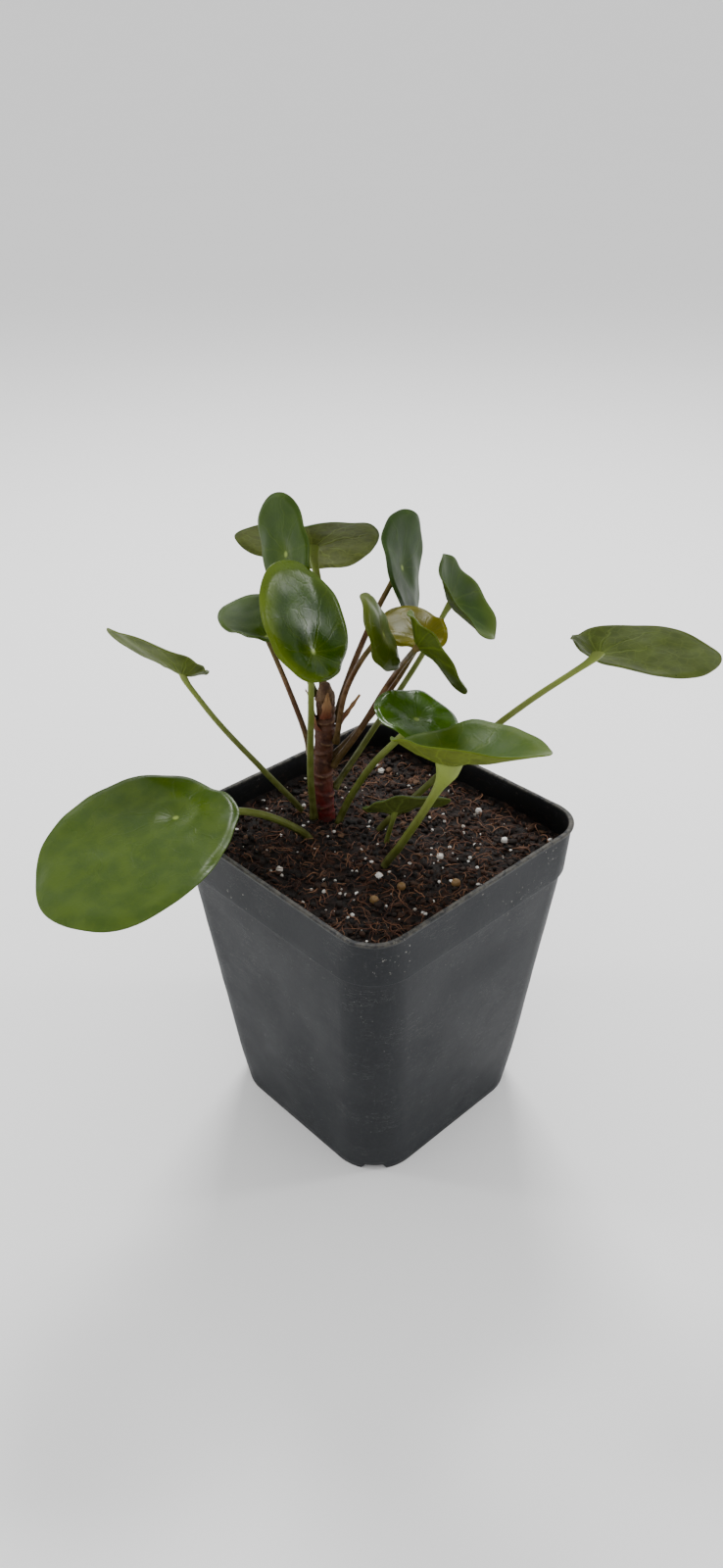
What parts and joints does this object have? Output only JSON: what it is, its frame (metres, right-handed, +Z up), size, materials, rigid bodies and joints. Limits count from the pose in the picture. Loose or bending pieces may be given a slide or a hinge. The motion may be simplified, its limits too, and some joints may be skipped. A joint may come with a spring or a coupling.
{
  "type": "potted foliage plant",
  "caption": "Young plant with round shield-shaped leaves on slender stalks from a short woody stem, in soil in a tapered square plastic nursery pot.",
  "frame": {"origin": "middle of the pot's flat underside, which rests on the floor", "axes": "+Z up; the pot's four sides face along +X, -X, +Y and -Y; the corner seen at the front of the picture is the +X -Y one"},
  "size_m": [0.1607, 0.1875, 0.213],
  "materials": {
    "pot_plastic": "dark grey, matte, lightly scuffed",
    "potting_mix": "dark crumbly peat with fibres",
    "stem_bark": "red-brown young bark with leaf scars",
    "leaf": "green, smooth, glossy above and paler and matte below",
    "young_leaf": "olive bronze, glossy",
    "stalk_green": "pale green, smooth, satin",
    "stalk_brown": "brown, smooth, satin",
    "dry_scale": "dry, thin, tan",
    "perlite": "white, rough",
    "prill": "tan, smooth, satin"
  },
  "bodies": {
    "root": {"pot": "pot_plastic", "soil": "potting_mix", "main_stem": "stem_bark", "blade_far_left": "leaf", "stalk_far_left": "stalk_green", "blade_top_left": "leaf", "stalk_top_left": "stalk_green", "blade_centre": "leaf", "stalk_centre": "stalk_green", "blade_top_back": "leaf", "stalk_top_back": "stalk_green", "blade_mid_left": "leaf", "stalk_mid_left": "stalk_brown", "blade_top_right": "leaf", "stalk_top_right": "stalk_brown", "blade_right_upper": "leaf", "stalk_right_upper": "stalk_green", "blade_young_bronze": "young_leaf", "stalk_young_bronze": "stalk_brown", "blade_right_middle": "leaf", "stalk_right_middle": "stalk_brown", "blade_young_narrow": "leaf", "stalk_young_narrow": "stalk_brown", "blade_far_right": "leaf", "stalk_far_right": "stalk_green", "blade_right_low": "leaf", "stalk_right_low": "stalk_green", "blade_front_funnel": "leaf", "stalk_front_funnel": "stalk_green", "blade_soil_small": "leaf", "stalk_soil_small": "stalk_green", "blade_left_large": "leaf", "stalk_left_large": "stalk_green", "scale_1": "dry_scale", "scale_2": "dry_scale", "scale_3": "dry_scale", "stalk_stub": "dry_scale", "perlite_1": "perlite", "perlite_2": "perlite", "perlite_3": "perlite", "perlite_4": "perlite", "perlite_5": "perlite", "perlite_6": "perlite", "prill_1": "prill", "prill_2": "prill", "prill_3": "prill"}
  },
  "joints": []
}
